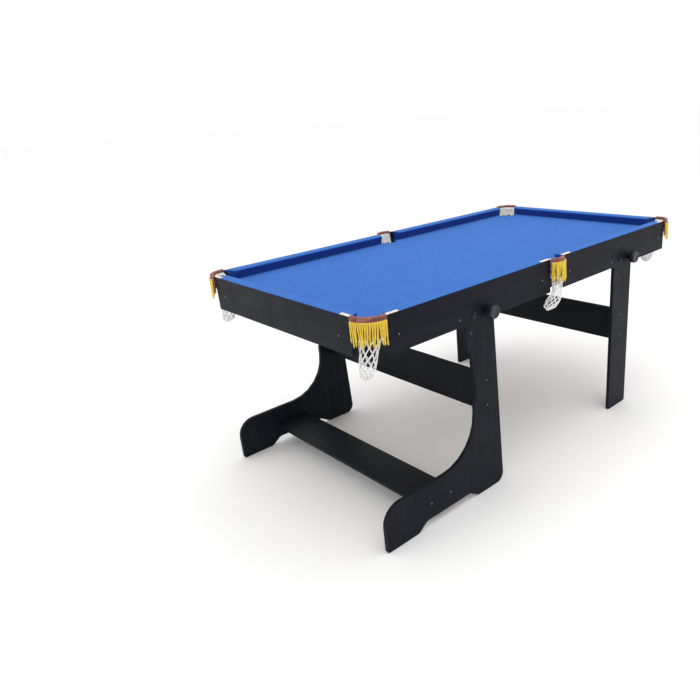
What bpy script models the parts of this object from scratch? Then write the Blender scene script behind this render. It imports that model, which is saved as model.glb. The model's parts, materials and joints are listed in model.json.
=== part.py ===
"""Folding six-foot pool table on two leg frames.

Frame: +X runs along the table to the straight legs, -X to the curved legs, +Z is up, and the
origin lies on the floor below the middle of the table.  "front" is the -Y side, "rear" the +Y
side, "left" the curved-leg end and "right" the straight-leg end.  Units are metres.
"""
import math

import bmesh
import bpy
from mathutils import Vector

for item in list(bpy.data.objects):
    bpy.data.objects.remove(item, do_unlink=True)

# ---------------------------------------------------------------- driving dimensions
TABLE_LENGTH = 1.830
TABLE_WIDTH = 1.000
RAIL_TOP = 0.815            # cloth-covered top of the rails above the floor
APRON_BOTTOM = 0.688
BOARD = 0.015               # thickness of every laminated board
GAP = 0.0003                # clearance between pieces that touch

RAIL_STRIP = 0.0085         # height of the rail above the apron's top edge
CUSHION_HEIGHT = 0.038      # rail top above the playing cloth
CLOTH = 0.0015
LIP = 0.0012                # apron lip that hides the edge of the rail cloth
LIP_TOP = RAIL_TOP - 0.0005

LEG_GAP = 0.0005            # between the apron board and the leg behind it
PIVOT_X = 0.465             # leg pivots, from the middle of the table
PIVOT_Z = 0.713
LOCK_PITCH = 0.067          # pivot to lock hole
STRETCHER_HEIGHT = 0.148
STRETCHER_BOTTOM = 0.327

CORNER_INSET = 0.065        # corner pocket centre from both outer faces
CORNER_RADIUS = 0.063       # centre line of the corner pocket's iron
CORNER_HALF_ARC = 53        # degrees of leather each side of the outward bearing
MIDDLE_INSET = 0.024        # middle pocket centre from the side face
MIDDLE_RADIUS = 0.0445
MIDDLE_HALF_ARC = 54
LUG_LENGTH = 0.046
LUG_INSET = 0.0062          # middle of each iron lug from the outer face of the rail
POCKET_TUBE = 0.0075        # half width of the leather roll round the iron
SKIRT_BOTTOM = 0.752
FRINGE_TOP = 0.8055
FRINGE_BOTTOM = 0.7355
NET_WALL = 0.0025
NET_NECK = 0.728            # below this the corner nets hang free
SHORT_NET = 0.85            # three corner nets hang higher than the front left one

BOLT_HOLE = 0.0045
KNOB_RADIUS = 0.025
KNOB_REACH = 0.038          # knob face from the apron

# ---------------------------------------------------------------- derived levels
HALF_LENGTH = TABLE_LENGTH / 2
HALF_WIDTH = TABLE_WIDTH / 2
APRON_TOP = RAIL_TOP - RAIL_STRIP
CLOTH_TOP = RAIL_TOP - CUSHION_HEIGHT
BED_TOP = CLOTH_TOP - CLOTH - GAP
BED_BOTTOM = BED_TOP - BOARD
UNDER_BED = BED_BOTTOM - GAP
LEG_OUTER = HALF_WIDTH - BOARD - LEG_GAP
LEG_INNER = LEG_OUTER - BOARD
BETWEEN_LEGS = LEG_INNER - GAP

SIDE_BOARD_END = HALF_LENGTH - 0.075    # the apron stops short of the corner pockets
END_BOARD_END = HALF_WIDTH - 0.080
MIDDLE_NOTCH = 0.0365                   # half the gap in the side apron at the middle pocket
MIDDLE_BACK_FACE = LEG_INNER - 0.0015   # outer face of the board behind a middle pocket

CURVED_STRETCHER_X = -0.398
STRAIGHT_STRETCHER_X = 0.515
FOOT_BOARD_X = (-0.735, -0.585)
FOOT_BOARD_Z = 0.081
STRAIGHT_LEG_X = (0.445, 0.585)
LEG_TOP = 0.7345

SIDES = {"front": -1, "rear": 1}
ENDS = {"left": -1, "right": 1}


# ---------------------------------------------------------------- materials
def finish(name, colour, roughness, metallic=0.0):
    """A Principled material with one colour, roughness and metallic value."""
    material = bpy.data.materials.new(name)
    material.use_nodes = True
    shader = material.node_tree.nodes["Principled BSDF"]
    shader.inputs["Base Color"].default_value = (*colour, 1.0)
    shader.inputs["Roughness"].default_value = roughness
    shader.inputs["Metallic"].default_value = metallic
    return material


BLACK_BOARD = finish("black_board", (0.020, 0.022, 0.028), 0.50)
RAW_BOARD = finish("raw_board", (0.36, 0.26, 0.17), 0.80)
BED_CLOTH = finish("bed_cloth", (0.07, 0.20, 0.62), 0.95)
LEATHER = finish("pocket_leather", (0.22, 0.045, 0.045), 0.50)
BRASS = finish("pocket_iron", (0.88, 0.81, 0.62), 0.35, 1.0)
FRINGE = finish("gold_fringe", (0.86, 0.62, 0.05), 0.60)
NET = finish("white_net", (0.85, 0.85, 0.83), 0.85)
PLASTIC = finish("black_plastic", (0.02, 0.02, 0.022), 0.40)
STEEL = finish("dark_steel", (0.12, 0.12, 0.13), 0.40, 1.0)


# ---------------------------------------------------------------- outlines
def arc(centre, radius, start, end, count):
    """Points on a circle from start to end, both in degrees and both included."""
    steps = [math.radians(start + (end - start) * i / count) for i in range(count + 1)]
    return [(centre[0] + radius * math.cos(a), centre[1] + radius * math.sin(a)) for a in steps]


def circle(centre, radius, count=16):
    return arc(centre, radius, 0, 360, count)[:-1]


def rectangle(low_u, low_v, high_u, high_v):
    return [(low_u, low_v), (high_u, low_v), (high_u, high_v), (low_u, high_v)]


def rounded(corners, steps=6):
    """Closed outline through corners (u, v, radius), each corner turned into an arc."""
    outline = []
    for i, (u, v, radius) in enumerate(corners):
        here = Vector((u, v))
        before = (Vector(corners[i - 1][:2]) - here).normalized()
        after = (Vector(corners[(i + 1) % len(corners)][:2]) - here).normalized()
        half = before.angle(after) / 2
        if radius == 0 or half > math.radians(89):
            outline.append((u, v))
            continue
        centre = here + (before + after).normalized() * radius / math.sin(half)
        first = here + before * radius / math.tan(half) - centre
        last = here + after * radius / math.tan(half) - centre
        sweep = first.angle_signed(last)
        for k in range(steps + 1):
            turn = -sweep * k / steps
            u_turn = first.x * math.cos(turn) - first.y * math.sin(turn)
            v_turn = first.x * math.sin(turn) + first.y * math.cos(turn)
            outline.append((centre.x + u_turn, centre.y + v_turn))
    return outline


def band(path, half_widths):
    """Closed outline of a strip that follows an open path, mitred where it turns."""
    left, right = [], []
    for i, point in enumerate(path):
        here = Vector(point)
        back = (here - Vector(path[i - 1])).normalized() if i else None
        ahead = (Vector(path[i + 1]) - here).normalized() if i + 1 < len(path) else None
        back = back or ahead
        ahead = ahead or back
        middle = (back + ahead).normalized()
        normal = Vector((-middle.y, middle.x)) * half_widths[i] / middle.dot(ahead)
        left.append(tuple(here + normal))
        right.append(tuple(here - normal))
    return left + right[::-1]


# ---------------------------------------------------------------- solids
def flat(u, v, depth):
    """Outline in plan, depth upwards."""
    return (u, v, depth)


def upright(u, v, depth):
    """Outline seen from the front, depth along Y."""
    return (u, depth, v)


def endwise(u, v, depth):
    """Outline seen from the end, depth along X."""
    return (depth, u, v)


def add_plate(bm, outline, low, high, lie, holes=()):
    """Extrude an outline with holes from depth low to depth high; lie is flat, upright or endwise."""
    edges = []
    for loop in (outline, *holes):
        ring = [bm.verts.new(lie(u, v, low)) for u, v in loop]
        edges += [bm.edges.new((ring[i - 1], ring[i])) for i in range(len(ring))]
    filled = bmesh.ops.triangle_fill(bm, use_beauty=True, use_dissolve=False, edges=edges)
    faces = [g for g in filled["geom"] if isinstance(g, bmesh.types.BMFace)]
    raised = bmesh.ops.extrude_face_region(bm, geom=faces)
    top = [g for g in raised["geom"] if isinstance(g, bmesh.types.BMVert)]
    bmesh.ops.translate(bm, vec=Vector(lie(0, 0, high - low)), verts=top)


def raise_lip(bm, outer, outward):
    """Extrude the outer strip of a board's top edge up to hide the edge of the rail cloth."""
    top = [face for face in bm.faces if face.calc_center_median().z > APRON_TOP - GAP]
    cut = Vector(outward) * (outer - LIP)
    geom = top + [edge for face in top for edge in face.edges]
    bmesh.ops.bisect_plane(bm, geom=list(set(geom)), plane_co=cut, plane_no=outward)
    strip = [face for face in bm.faces
             if face.calc_center_median().z > APRON_TOP - GAP
             and face.calc_center_median().dot(Vector(outward)) > outer - LIP]
    raised = bmesh.ops.extrude_face_region(bm, geom=strip)
    ridge = [g for g in raised["geom"] if isinstance(g, bmesh.types.BMVert)]
    bmesh.ops.delete(bm, geom=strip, context="FACES_ONLY")
    bmesh.ops.translate(bm, vec=(0, 0, LIP_TOP - APRON_TOP), verts=ridge)


def add_box(bm, low, high):
    add_plate(bm, rectangle(low[0], low[1], high[0], high[1]), low[2], high[2], flat)


def add_loft(bm, rings):
    """Join rings of points, each with the same count, and cap the first and the last."""
    loops = [[bm.verts.new(point) for point in ring] for ring in rings]
    count = len(rings[0])
    for near, far in zip(loops, loops[1:]):
        for i in range(count):
            j = (i + 1) % count
            bm.faces.new((near[i], near[j], far[j], far[i]))
    bm.faces.new(loops[0])
    bm.faces.new(loops[-1])


def add_turned(bm, centre, outward, profile, count):
    """Solid of revolution about a horizontal axis along Y: profile holds (radius, reach)."""
    rings = []
    for radius, reach in profile:
        ring = circle((centre[0], centre[2]), radius, count)
        rings.append([(u, centre[1] + outward * reach, v) for u, v in ring])
    add_loft(bm, rings)


def add_part(name, bm, material, parent=None, origin=(0, 0, 0), smooth=False):
    """Turn a finished bmesh into an object whose origin is at the given place."""
    bmesh.ops.recalc_face_normals(bm, faces=bm.faces)
    bmesh.ops.translate(bm, vec=-Vector(origin), verts=bm.verts)
    mesh = bpy.data.meshes.new(name)
    bm.to_mesh(mesh)
    bm.free()
    if smooth:
        mesh.shade_smooth()
        mesh.set_sharp_from_angle(angle=math.radians(35))
    mesh.materials.append(material)
    part = bpy.data.objects.new(name, mesh)
    bpy.context.scene.collection.objects.link(part)
    place(part, parent, origin)
    return part


def place(part, parent, origin):
    """Parent an object and leave its origin at a place given in the table's frame."""
    part.parent = parent
    part.location = Vector(origin) - (Vector(parent["axis"]) if parent else Vector())


def add_axis(name, origin, parent=None):
    """An empty on a joint's axis, the parent of every piece that turns about it."""
    axis = bpy.data.objects.new(name, None)
    axis["axis"] = origin
    bpy.context.scene.collection.objects.link(axis)
    place(axis, parent, origin)
    return axis


# ---------------------------------------------------------------- leg frames
CURVED_LEG = [
    # back edge and heel
    (-0.346, LEG_TOP, 0.012), (-0.346, 0.650, 0.0), (-0.317, 0.000, 0.036),
    # heel pad, arch and toe pad
    (-0.458, 0.000, 0.030), (-0.508, 0.029, 0.030), (-0.728, 0.029, 0.030), (-0.768, 0.000, 0.030),
    # toe, top of the foot and the sweep up into the post
    (-0.910, 0.000, 0.010), (-0.910, 0.169, 0.072), (-0.463, 0.169, 0.170),
    # waist and head
    (-0.463, 0.376, 0.015), (-0.449, 0.403, 0.025), (-0.466, 0.530, 0.040),
    (-0.466, 0.552, 0.020), (-0.487, 0.600, 0.030), (-0.487, LEG_TOP, 0.018),
]


def build_curved_frame():
    leg_holes = [
        circle((-PIVOT_X, PIVOT_Z), BOLT_HOLE),
        circle((-PIVOT_X + LOCK_PITCH, PIVOT_Z), BOLT_HOLE),
        circle((-PIVOT_X, PIVOT_Z - LOCK_PITCH), BOLT_HOLE),
    ]
    for side, sign in SIDES.items():
        bm = bmesh.new()
        outer, inner = sign * LEG_OUTER, sign * LEG_INNER
        add_plate(bm, rounded(CURVED_LEG), inner, outer, upright, leg_holes)
        add_part("curved_leg_" + side, bm, BLACK_BOARD)

    add_stretcher("curved_leg_stretcher", CURVED_STRETCHER_X, None)

    bm = bmesh.new()
    low = (FOOT_BOARD_X[0], -BETWEEN_LEGS, FOOT_BOARD_Z)
    high = (FOOT_BOARD_X[1], BETWEEN_LEGS, FOOT_BOARD_Z + BOARD)
    add_box(bm, low, high)
    add_part("curved_leg_foot_board", bm, BLACK_BOARD)


def build_straight_frame(axis):
    low, high = STRAIGHT_LEG_X
    outline = rounded([
        (low, 0.000, 0.006), (high, 0.000, 0.006), (high, LEG_TOP, 0.018), (low, LEG_TOP, 0.014),
    ])
    leg_holes = [
        circle((PIVOT_X, PIVOT_Z), BOLT_HOLE),
        circle((PIVOT_X + LOCK_PITCH, PIVOT_Z), BOLT_HOLE),
        circle((PIVOT_X, PIVOT_Z - LOCK_PITCH), BOLT_HOLE),
    ]
    for side, sign in SIDES.items():
        bm = bmesh.new()
        add_plate(bm, outline, sign * LEG_INNER, sign * LEG_OUTER, upright, leg_holes)
        add_part("straight_leg_" + side, bm, BLACK_BOARD, axis, axis["axis"])
    add_stretcher("straight_leg_stretcher", STRAIGHT_STRETCHER_X, axis)


def add_stretcher(name, x, axis):
    """Upright board between two legs."""
    bm = bmesh.new()
    low = (x - BOARD / 2, -BETWEEN_LEGS, STRETCHER_BOTTOM)
    high = (x + BOARD / 2, BETWEEN_LEGS, STRETCHER_BOTTOM + STRETCHER_HEIGHT)
    add_box(bm, low, high)
    add_part(name, bm, BLACK_BOARD, axis, axis["axis"] if axis else (0, 0, 0))


# ---------------------------------------------------------------- tabletop: boards
def bed_outline():
    """Bed board in plan, with the six pocket cut-outs left open to its edges."""
    half_x, half_y = HALF_LENGTH - BOARD - GAP, HALF_WIDTH - BOARD - GAP
    corner_x, corner_y = HALF_LENGTH - CORNER_INSET, HALF_WIDTH - CORNER_INSET
    corner_cut, middle_cut = 0.041, 0.043
    middle_y = HALF_WIDTH - MIDDLE_INSET
    quarter = arc((0, middle_y), middle_cut, -90, 0, 6)
    quarter += [(middle_cut, half_y), (corner_x - corner_cut, half_y)]
    quarter += arc((corner_x, corner_y), corner_cut, 180, 270, 6)
    quarter += [(half_x, corner_y - corner_cut)]
    right_rear = quarter
    right_front = [(x, -y) for x, y in reversed(quarter)]
    left_front = [(-x, -y) for x, y in quarter[1:]]
    left_rear = [(-x, y) for x, y in reversed(quarter[1:])]
    return right_rear + right_front + left_front + left_rear


def build_bed(axis):
    outline = bed_outline()
    bm = bmesh.new()
    add_plate(bm, outline, BED_BOTTOM, BED_TOP, flat)
    add_part("bed_board", bm, RAW_BOARD, axis, axis["axis"])
    bm = bmesh.new()
    add_plate(bm, outline, BED_TOP + GAP, CLOTH_TOP, flat)
    add_part("bed_cloth", bm, BED_CLOTH, axis, axis["axis"])

    bearer_width, bearer_depth = 0.018, 0.045
    reach = MIDDLE_BACK_FACE - BOARD - GAP
    bm = bmesh.new()
    low = (-bearer_width / 2, -reach, UNDER_BED - bearer_depth)
    add_box(bm, low, (bearer_width / 2, reach, UNDER_BED))
    add_part("centre_bearer", bm, RAW_BOARD, axis, axis["axis"])


def build_apron(axis):
    """Side boards in two lengths, end boards, and the lip along the top of each."""
    for side, sign in SIDES.items():
        for end, way in ENDS.items():
            holes = [circle((way * PIVOT_X + step, PIVOT_Z), BOLT_HOLE)
                     for step in (-LOCK_PITCH, 0, LOCK_PITCH)]
            low_x, high_x = sorted((way * MIDDLE_NOTCH, way * SIDE_BOARD_END))
            outline = rectangle(low_x, APRON_BOTTOM, high_x, APRON_TOP)
            bm = bmesh.new()
            add_plate(bm, outline, sign * (HALF_WIDTH - BOARD), sign * HALF_WIDTH, upright, holes)
            raise_lip(bm, HALF_WIDTH, (0, sign, 0))
            add_part("side_board_" + side + "_" + end, bm, BLACK_BOARD, axis, axis["axis"])
    for end, way in ENDS.items():
        outline = rectangle(-END_BOARD_END, APRON_BOTTOM, END_BOARD_END, APRON_TOP)
        bm = bmesh.new()
        low, high = way * (HALF_LENGTH - BOARD), way * HALF_LENGTH
        add_plate(bm, outline, low, high, endwise)
        raise_lip(bm, HALF_LENGTH, (way, 0, 0))
        add_part("end_board_" + end, bm, BLACK_BOARD, axis, axis["axis"])


def build_middle_backs(axis):
    """Boards behind the middle pockets, notched so that a ball rolls over them into the net."""
    back_half, notch_half, notch_depth = 0.115, 0.040, 0.022
    outline = [
        (-back_half, APRON_BOTTOM + 0.004), (back_half, APRON_BOTTOM + 0.004),
        (back_half, UNDER_BED), (notch_half, UNDER_BED), (notch_half, UNDER_BED - notch_depth),
        (-notch_half, UNDER_BED - notch_depth), (-notch_half, UNDER_BED), (-back_half, UNDER_BED),
    ]
    for side, sign in SIDES.items():
        bm = bmesh.new()
        low, high = sign * (MIDDLE_BACK_FACE - BOARD), sign * MIDDLE_BACK_FACE
        add_plate(bm, outline, low, high, upright)
        add_part("middle_pocket_back_" + side, bm, BLACK_BOARD, axis, axis["axis"])


# ---------------------------------------------------------------- tabletop: cushions
def cushion_section():
    """Rail and rubber under one cloth: (distance in from the outer face, height)."""
    nose = 0.047
    return [
        (0.0015, APRON_TOP + GAP), (0.0015, RAIL_TOP - 0.0020), (0.0035, RAIL_TOP),
        (0.0390, RAIL_TOP), (0.0445, RAIL_TOP - 0.0025), (nose, RAIL_TOP - 0.0070),
        (0.0360, CLOTH_TOP + GAP), (BOARD + GAP, CLOTH_TOP + GAP), (BOARD + GAP, APRON_TOP + GAP),
    ]


def add_cushion(name, along, across, first, last, axis):
    """One rail; first and last hold (end at the outer face, end at the nose)."""
    section = cushion_section()
    outer, nose = section[0][0], max(point[0] for point in section)
    rings = []
    for at_outer, at_nose in (first, last):
        ring = []
        for inward, height in section:
            share = (inward - outer) / (nose - outer)
            ring.append(along(at_outer + (at_nose - at_outer) * share, across - inward, height))
        rings.append(ring)
    bm = bmesh.new()
    add_loft(bm, rings)
    add_part(name, bm, BED_CLOTH, axis, axis["axis"])


def build_cushions(axis):
    corner_outer, corner_nose = 0.075, 0.100
    middle_end = (0.046, 0.052)
    for side, sign in SIDES.items():
        for end, way in ENDS.items():
            corner_end = (HALF_LENGTH - corner_outer, HALF_LENGTH - corner_nose)

            def along(distance, inward, height, way=way, sign=sign):
                return (way * distance, sign * inward, height)

            name = "cushion_" + side + "_" + end
            add_cushion(name, along, HALF_WIDTH, middle_end, corner_end, axis)
    for end, way in ENDS.items():
        reach = (HALF_WIDTH - corner_outer, HALF_WIDTH - corner_nose)

        def along(distance, inward, height, way=way):
            return (way * inward, distance, height)

        back = (-reach[0], -reach[1])
        add_cushion("cushion_end_" + end, along, HALF_LENGTH, back, reach, axis)


# ---------------------------------------------------------------- tabletop: pockets
class Pocket:
    """Plan of one pocket: its centre, its outward bearing and the arc its leather covers."""

    def __init__(self, name, centre, bearing, radius, half_arc, lug_path):
        self.name = name
        self.centre = centre
        self.bearing = bearing
        self.radius = radius
        self.half_arc = half_arc
        self.lug_path = lug_path

    def point(self, radius, angle):
        """Plan point at an angle in degrees from the pocket's outward bearing."""
        turn = math.radians(self.bearing + angle)
        return (self.centre[0] + radius * math.cos(turn), self.centre[1] + radius * math.sin(turn))


def all_pockets():
    """Six pockets; each lug path runs along a rail, away from the pocket."""
    pockets = []
    for side, sign in SIDES.items():
        rail_y = sign * (HALF_WIDTH - LUG_INSET)
        for end, way in ENDS.items():
            x, y = way * (HALF_LENGTH - CORNER_INSET), sign * (HALF_WIDTH - CORNER_INSET)
            rail_x = way * (HALF_LENGTH - LUG_INSET)
            start = 0.014
            on_end = [(rail_x, y - sign * start), (rail_x, y - sign * (start + LUG_LENGTH))]
            on_side = [(x - way * start, rail_y), (x - way * (start + LUG_LENGTH), rail_y)]
            lugs = (on_end, on_side) if sign == way else (on_side, on_end)
            bearing = math.degrees(math.atan2(sign, way))
            name = side + "_" + end
            pockets.append(Pocket(name, (x, y), bearing, CORNER_RADIUS, CORNER_HALF_ARC, lugs))
        start = 0.047
        lugs = [[(turn * sign * reach, rail_y) for reach in (start, start + LUG_LENGTH)]
                for turn in (1, -1)]
        centre = (0.0, sign * (HALF_WIDTH - MIDDLE_INSET))
        name = side + "_middle"
        pockets.append(Pocket(name, centre, 90 * sign, MIDDLE_RADIUS, MIDDLE_HALF_ARC, lugs))
    return pockets


def sweep_section(pocket, section, half_arc, count):
    """Turn a section of (radius, height) points about the pocket's centre."""
    rings = []
    for k in range(count + 1):
        angle = -half_arc + 2 * half_arc * k / count
        rings.append([(*pocket.point(radius, angle), height) for radius, height in section])
    bm = bmesh.new()
    add_loft(bm, rings)
    return bm


def build_pocket(pocket, axis):
    origin = axis["axis"]
    iron_bottom = RAIL_TOP + GAP
    iron_top = iron_bottom + 0.0022
    bar_half, lug_half = 0.0038, 0.0058
    turns = 12
    bar = [pocket.point(pocket.radius, -pocket.half_arc - 2 + 2 * (pocket.half_arc + 2) * k / turns)
           for k in range(turns + 1)]
    near, far = pocket.lug_path
    path = near[::-1] + bar + far
    widths = [lug_half] * 2 + [bar_half] * len(bar) + [lug_half] * 2
    bm = bmesh.new()
    add_plate(bm, band(path, widths), iron_bottom, iron_top, flat)
    add_part("pocket_iron_" + pocket.name, bm, BRASS, axis, origin)

    radius, wall = pocket.radius, 0.0030
    inner, outer = radius - POCKET_TUBE, radius + POCKET_TUBE
    slot_in, slot_out = radius - bar_half - 2 * GAP, outer - wall
    slot_top = iron_top + GAP
    roll_top = slot_top + wall
    lip_bottom = RAIL_TOP - 0.009
    section = [
        (outer, SKIRT_BOTTOM), (outer, roll_top - 0.0040), (outer - 0.0025, roll_top - 0.0008),
        (radius, roll_top), (inner + 0.0025, roll_top - 0.0008), (inner, roll_top - 0.0040),
        (inner, lip_bottom), (slot_in, lip_bottom), (slot_in, slot_top), (slot_out, slot_top),
        (slot_out, SKIRT_BOTTOM),
    ]
    bm = sweep_section(pocket, section, pocket.half_arc, 12)
    add_part("pocket_leather_" + pocket.name, bm, LEATHER, axis, origin, smooth=True)

    thread_in, thread_out = outer + GAP, outer + 0.0042
    section = [(thread_in, FRINGE_BOTTOM), (thread_out, FRINGE_BOTTOM), (thread_out, FRINGE_TOP),
               (thread_in, FRINGE_TOP)]
    bm = sweep_section(pocket, section, pocket.half_arc - 3, 12)
    add_part("pocket_fringe_" + pocket.name, bm, FRINGE, axis, origin, smooth=True)

    bm = bmesh.new()
    add_net(bm, pocket)
    add_part("pocket_net_" + pocket.name, bm, NET, axis, origin, smooth=True)


def net_levels(pocket):
    """Rings of the net from the rim down: offset outwards, swing towards -X, radius, height."""
    if pocket.name.endswith("middle"):
        return [(0.000, 0.000, 0.0335, 0.806), (0.006, 0.000, 0.0330, 0.785),
                (0.020, 0.002, 0.0275, 0.757), (0.0313, 0.006, 0.0188, 0.7350),
                (0.0390, 0.013, 0.0190, 0.700), (0.0395, 0.016, 0.0190, 0.687),
                (0.0395, 0.038, 0.0265, 0.664), (0.0395, 0.060, 0.0240, 0.644),
                (0.0395, 0.072, 0.0080, 0.630)]
    levels = [(0.000, 0.000, 0.0370, 0.806), (0.000, 0.000, 0.0370, 0.772),
              (0.000, 0.008, 0.0345, NET_NECK), (0.000, 0.016, 0.0285, 0.690),
              (0.000, 0.026, 0.0265, 0.650), (0.000, 0.033, 0.0220, 0.620),
              (0.000, 0.036, 0.0080, 0.604)]
    stretch = 1.0 if pocket.name == "front_left" else SHORT_NET
    return [(offset, swing, radius, height if height > NET_NECK
             else NET_NECK - (NET_NECK - height) * stretch)
            for offset, swing, radius, height in levels]


def add_net(bm, pocket):
    """Open-topped bag: rings up the outside, over the rim and down the inside."""
    outside, inside = [], []
    levels = net_levels(pocket)
    for offset, swing, radius, height in levels:
        x, y = pocket.point(offset, 0)
        centre = (x - swing, y)
        outside.append([(u, v, height) for u, v in circle(centre, radius, 14)])
        lift = NET_WALL if height == levels[-1][3] else 0.0
        inside.append([(u, v, height + lift) for u, v in circle(centre, radius - NET_WALL, 14)])
    add_loft(bm, outside[::-1] + inside)


# ---------------------------------------------------------------- pivots and locks
def build_pivot_bolts(axis):
    """Bolt, washer and nut at each leg pivot."""
    leg_face = -(HALF_WIDTH - LEG_INNER)
    profile = [
        (0.0030, leg_face - 0.0110), (0.0040, leg_face - 0.0100), (0.0040, leg_face - 0.0075),
        (0.0075, leg_face - 0.0075), (0.0075, leg_face - GAP), (0.0040, leg_face - GAP),
        (0.0040, GAP), (0.0120, GAP), (0.0120, 0.0018), (0.0085, 0.0018), (0.0085, 0.0042),
        (0.0060, 0.0060), (0.0020, 0.0062),
    ]
    for side, sign in SIDES.items():
        for end, way in ENDS.items():
            centre = (way * PIVOT_X, sign * HALF_WIDTH, PIVOT_Z)
            bm = bmesh.new()
            add_turned(bm, centre, sign, profile, 16)
            add_part("pivot_bolt_" + side + "_" + end, bm, STEEL, axis, centre, smooth=True)


def build_lock(side, sign, end, way, parent):
    """Screwed knob that passes the apron, with its loose washer."""
    x = -PIVOT_X + LOCK_PITCH if way < 0 else PIVOT_X + LOCK_PITCH
    centre = (x, sign * HALF_WIDTH, PIVOT_Z)
    outer, inner, thick = 0.0115, 0.0046, 0.0015
    bm = bmesh.new()
    hole = circle((x, PIVOT_Z), inner, 20)
    low, high = sign * (HALF_WIDTH + GAP), sign * (HALF_WIDTH + GAP + thick)
    add_plate(bm, circle((x, PIVOT_Z), outer, 20), low, high, upright, [hole])
    add_part("lock_washer_" + side + "_" + end, bm, STEEL, parent, centre, smooth=True)

    seat = 2 * GAP + thick
    stud_end = -(BOARD - 2 * GAP)
    profile = [
        (0.0030, stud_end), (0.0040, stud_end + 0.001), (0.0040, seat), (0.0105, seat),
        (0.0120, 0.0110), (0.0215, 0.0130), (KNOB_RADIUS, 0.0170), (KNOB_RADIUS, 0.0330),
        (0.0225, 0.0370), (0.0190, KNOB_REACH), (0.0165, 0.0345), (0.0020, 0.0340),
    ]
    bm = bmesh.new()
    add_turned(bm, centre, sign, profile, 24)
    add_part("lock_knob_" + side + "_" + end, bm, PLASTIC, parent, centre, smooth=True)


# ---------------------------------------------------------------- assembly
table_axis = add_axis("table_fold_axis", (-PIVOT_X, 0, PIVOT_Z))
straight_axis = add_axis("straight_leg_fold_axis", (PIVOT_X, 0, PIVOT_Z), table_axis)

build_curved_frame()
build_bed(table_axis)
build_apron(table_axis)
build_middle_backs(table_axis)
build_cushions(table_axis)
for table_pocket in all_pockets():
    build_pocket(table_pocket, table_axis)
build_pivot_bolts(table_axis)
build_straight_frame(straight_axis)
for lock_side, lock_sign in SIDES.items():
    for lock_end, lock_way in ENDS.items():
        build_lock(lock_side, lock_sign, lock_end, lock_way, table_axis)
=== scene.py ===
"""Looks for the folding pool table: cloth, cushions, leather pockets, fringe, nets and boards."""
import json
import math
import random

import bmesh
import bpy
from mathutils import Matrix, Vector, noise


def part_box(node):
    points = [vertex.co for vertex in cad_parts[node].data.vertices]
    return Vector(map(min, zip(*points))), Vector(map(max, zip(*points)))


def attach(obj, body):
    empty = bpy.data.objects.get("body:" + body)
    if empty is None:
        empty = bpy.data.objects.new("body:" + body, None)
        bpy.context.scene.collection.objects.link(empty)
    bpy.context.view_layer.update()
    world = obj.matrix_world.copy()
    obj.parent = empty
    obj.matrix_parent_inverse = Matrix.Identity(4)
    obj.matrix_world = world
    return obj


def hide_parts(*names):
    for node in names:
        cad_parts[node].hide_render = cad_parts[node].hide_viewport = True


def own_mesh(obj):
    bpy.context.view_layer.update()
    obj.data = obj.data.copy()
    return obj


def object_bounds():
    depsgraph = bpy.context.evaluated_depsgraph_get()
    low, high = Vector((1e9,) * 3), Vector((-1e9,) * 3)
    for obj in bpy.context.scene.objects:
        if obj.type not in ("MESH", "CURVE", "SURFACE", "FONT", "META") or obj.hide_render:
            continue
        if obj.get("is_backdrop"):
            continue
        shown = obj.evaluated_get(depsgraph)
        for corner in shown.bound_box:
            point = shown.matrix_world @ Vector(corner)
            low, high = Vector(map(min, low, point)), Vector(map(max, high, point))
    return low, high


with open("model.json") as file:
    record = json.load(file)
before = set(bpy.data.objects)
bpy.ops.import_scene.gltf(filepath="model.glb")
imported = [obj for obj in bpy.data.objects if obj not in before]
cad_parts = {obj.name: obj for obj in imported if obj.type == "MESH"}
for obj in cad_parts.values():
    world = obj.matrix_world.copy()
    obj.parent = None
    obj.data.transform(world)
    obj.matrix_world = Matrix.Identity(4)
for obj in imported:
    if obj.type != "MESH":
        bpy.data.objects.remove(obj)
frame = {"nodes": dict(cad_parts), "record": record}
cad_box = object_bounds()

SIDES = {"front": -1, "rear": 1}
ENDS = {"left": -1, "right": 1}
TOP = "tabletop"

# ---- places read from the frame
apron_low, apron_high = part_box("side_board_front_left")
end_low, end_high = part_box("end_board_left")
bed_low, bed_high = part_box("bed_board")
cloth_low, cloth_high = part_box("bed_cloth")
leg_low, leg_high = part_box("curved_leg_rear")
leather_low, leather_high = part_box("pocket_leather_front_left")
fringe_low, fringe_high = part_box("pocket_fringe_front_left")
HALF_WIDTH = -apron_low[1]
HALF_LENGTH = -end_low[0]
BOARD = end_high[0] - end_low[0]
APRON_TOP = apron_high[2] - 0.0080      # foot of the thin lip that hides the rail cloth's edge
RAIL_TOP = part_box("cushion_front_left")[1][2]
CLOTH_TOP = cloth_high[2]
BED_BOTTOM = bed_low[2]
LEG_FACE, LEG_INNER_FACE = leg_high[1], leg_low[1]
SKIRT_BOTTOM, ROLL_TOP = leather_low[2], leather_high[2]
FRINGE_BOTTOM, FRINGE_TOP = fringe_low[2], fringe_high[2]
NET_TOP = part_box("pocket_net_front_left")[1][2]

# ---- sizes shared with the CAD
GAP = 0.0003                # clearance between neighbouring pieces
CORNER_INSET = 0.065        # pocket centre from the outer faces of the boards
CORNER_RADIUS = 0.063       # middle line of the leather roll
CORNER_HALF_ARC = 53        # degrees to each side of the pocket's bearing
CORNER_CUT = 0.041          # radius of the bite out of the bed
MIDDLE_INSET = 0.024
MIDDLE_RADIUS = 0.0445
MIDDLE_HALF_ARC = 54
MIDDLE_CUT = 0.043
ROLL = 0.0075               # half width of the leather roll
IRON_TOP = RAIL_TOP + GAP + 0.0022
LUG_INSET = 0.0062          # middle of each iron lug from the outer face of the rail
CLOTH_LIP = 0.011           # bed cloth turned down at the pockets


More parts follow.
